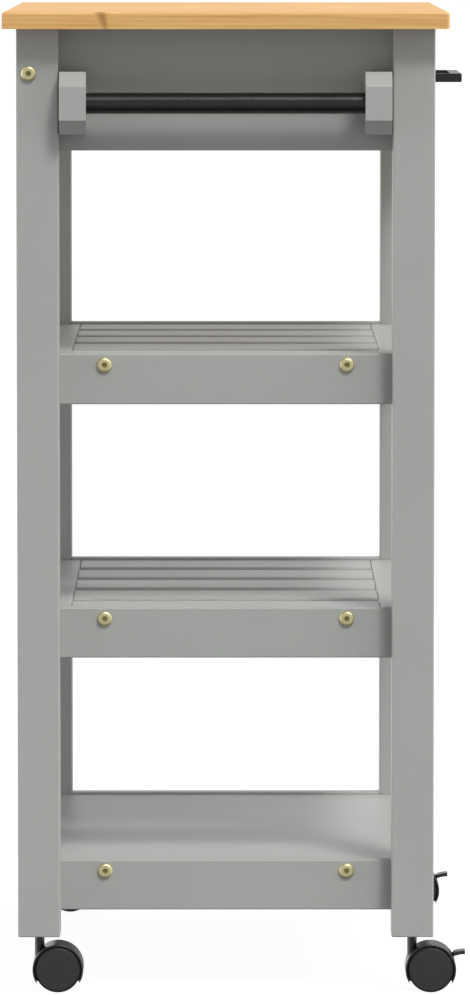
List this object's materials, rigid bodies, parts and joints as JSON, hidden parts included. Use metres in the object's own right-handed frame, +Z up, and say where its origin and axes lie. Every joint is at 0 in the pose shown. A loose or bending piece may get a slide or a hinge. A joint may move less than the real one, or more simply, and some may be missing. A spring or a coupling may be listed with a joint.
{
  "type": "kitchen island cart",
  "caption": "Rolling kitchen cart: pine worktop on a painted timber frame, front drawer, slatted shelves, solid bottom shelf, towel rail on the left end and twin-wheel casters with brakes.",
  "frame": {"origin": "on the floor, under the middle of the overall box, which the drawer handle and the brake levers make 18.6 mm deeper in front; the frame's own middle plane is at x = -9.3 mm", "axes": "+Z up, +X towards the front, where the drawer opens, -Y towards the left end, which carries the towel rail"},
  "size_m": [0.4185, 0.6, 0.887],
  "materials": {
    "waxed_pine": "waxed, honey coloured, glued staves with knots",
    "grey_paint": "satin warm grey paint on pine",
    "black_metal": "satin black powder coat",
    "drawer_wood": "bare planed pine",
    "plywood": "thin bare plywood",
    "beech": "bare beech",
    "black_plastic": "moulded black nylon",
    "brass": "yellow passivated",
    "zinc_steel": "bright zinc plated"
  },
  "bodies": {
    "frame": {"worktop": "waxed_pine", "leg_front_left": "grey_paint", "leg_front_right": "grey_paint", "leg_rear_left": "grey_paint", "leg_rear_right": "grey_paint", "apron_left": "grey_paint", "apron_right": "grey_paint", "apron_rear": "grey_paint", "drawer_rail": "grey_paint", "upper_rail_left": "grey_paint", "upper_rail_right": "grey_paint", "middle_rail_left": "grey_paint", "middle_rail_right": "grey_paint", "lower_rail_left": "grey_paint", "lower_rail_right": "grey_paint", "upper_stile_front": "grey_paint", "upper_stile_rear": "grey_paint", "middle_stile_front": "grey_paint", "middle_stile_rear": "grey_paint", "upper_slats": "grey_paint", "middle_slats": "grey_paint", "bottom_shelf": "grey_paint", "towel_block_front": "grey_paint", "towel_block_rear": "grey_paint", "towel_bar": "black_metal", "drawer_runner_left": "beech", "drawer_runner_right": "beech", "worktop_brackets": "zinc_steel", "caster_stems": "zinc_steel", "caster_sockets": "zinc_steel", "leg_bolts": "brass", "shelf_bolts": "brass", "barrel_nuts": "zinc_steel", "frame_dowels": "beech", "wood_screws": "zinc_steel"},
    "drawer": {"drawer_front": "grey_paint", "drawer_side_left": "drawer_wood", "drawer_side_right": "drawer_wood", "drawer_back": "drawer_wood", "drawer_bottom": "plywood", "drawer_handle": "black_metal", "drawer_screws": "zinc_steel"},
    "caster_front_left": {"caster_housing_front_left": "black_plastic", "caster_axle_front_left": "zinc_steel"},
    "wheel_left_front_left": {"wheel_left_front_left": "black_plastic"},
    "wheel_right_front_left": {"wheel_right_front_left": "black_plastic"},
    "brake_front_left": {"brake_lever_front_left": "black_plastic"},
    "caster_front_right": {"caster_housing_front_right": "black_plastic", "caster_axle_front_right": "zinc_steel"},
    "wheel_left_front_right": {"wheel_left_front_right": "black_plastic"},
    "wheel_right_front_right": {"wheel_right_front_right": "black_plastic"},
    "brake_front_right": {"brake_lever_front_right": "black_plastic"},
    "caster_rear_left": {"caster_housing_rear_left": "black_plastic", "caster_axle_rear_left": "zinc_steel"},
    "wheel_left_rear_left": {"wheel_left_rear_left": "black_plastic"},
    "wheel_right_rear_left": {"wheel_right_rear_left": "black_plastic"},
    "caster_rear_right": {"caster_housing_rear_right": "black_plastic", "caster_axle_rear_right": "zinc_steel"},
    "wheel_left_rear_right": {"wheel_left_rear_right": "black_plastic"},
    "wheel_right_rear_right": {"wheel_right_rear_right": "black_plastic"}
  },
  "joints": [
    {"name": "drawer_slide", "type": "slide", "parent": "frame", "child": "drawer", "axis": [1, 0, 0], "range_m": [0, 0.24]},
    {"name": "swivel_front_left", "type": "hinge", "parent": "frame", "child": "caster_front_left", "pos_m": [0.1597, -0.2555, 0.049], "axis": [0, 0, 1], "continuous": true},
    {"name": "roll_left_front_left", "type": "hinge", "parent": "caster_front_left", "child": "wheel_left_front_left", "pos_m": [0.1765, -0.2555, 0.02075], "axis": [0, 1, 0], "continuous": true},
    {"name": "roll_right_front_left", "type": "hinge", "parent": "caster_front_left", "child": "wheel_right_front_left", "pos_m": [0.1765, -0.2555, 0.02075], "axis": [0, 1, 0], "continuous": true},
    {"name": "brake_front_left", "type": "hinge", "parent": "caster_front_left", "child": "brake_front_left", "pos_m": [0.1905, -0.2555, 0.02925], "axis": [0, 1, 0], "range_deg": [0, 18]},
    {"name": "swivel_front_right", "type": "hinge", "parent": "frame", "child": "caster_front_right", "pos_m": [0.1597, 0.2555, 0.049], "axis": [0, 0, 1], "continuous": true},
    {"name": "roll_left_front_right", "type": "hinge", "parent": "caster_front_right", "child": "wheel_left_front_right", "pos_m": [0.1765, 0.2555, 0.02075], "axis": [0, 1, 0], "continuous": true},
    {"name": "roll_right_front_right", "type": "hinge", "parent": "caster_front_right", "child": "wheel_right_front_right", "pos_m": [0.1765, 0.2555, 0.02075], "axis": [0, 1, 0], "continuous": true},
    {"name": "brake_front_right", "type": "hinge", "parent": "caster_front_right", "child": "brake_front_right", "pos_m": [0.1905, 0.2555, 0.02925], "axis": [0, 1, 0], "range_deg": [0, 18]},
    {"name": "swivel_rear_left", "type": "hinge", "parent": "frame", "child": "caster_rear_left", "pos_m": [-0.1783, -0.2555, 0.049], "axis": [0, 0, 1], "continuous": true},
    {"name": "roll_left_rear_left", "type": "hinge", "parent": "caster_rear_left", "child": "wheel_left_rear_left", "pos_m": [-0.1615, -0.2555, 0.02075], "axis": [0, 1, 0], "continuous": true},
    {"name": "roll_right_rear_left", "type": "hinge", "parent": "caster_rear_left", "child": "wheel_right_rear_left", "pos_m": [-0.1615, -0.2555, 0.02075], "axis": [0, 1, 0], "continuous": true},
    {"name": "swivel_rear_right", "type": "hinge", "parent": "frame", "child": "caster_rear_right", "pos_m": [-0.1783, 0.2555, 0.049], "axis": [0, 0, 1], "continuous": true},
    {"name": "roll_left_rear_right", "type": "hinge", "parent": "caster_rear_right", "child": "wheel_left_rear_right", "pos_m": [-0.1615, 0.2555, 0.02075], "axis": [0, 1, 0], "continuous": true},
    {"name": "roll_right_rear_right", "type": "hinge", "parent": "caster_rear_right", "child": "wheel_right_rear_right", "pos_m": [-0.1615, 0.2555, 0.02075], "axis": [0, 1, 0], "continuous": true}
  ]
}
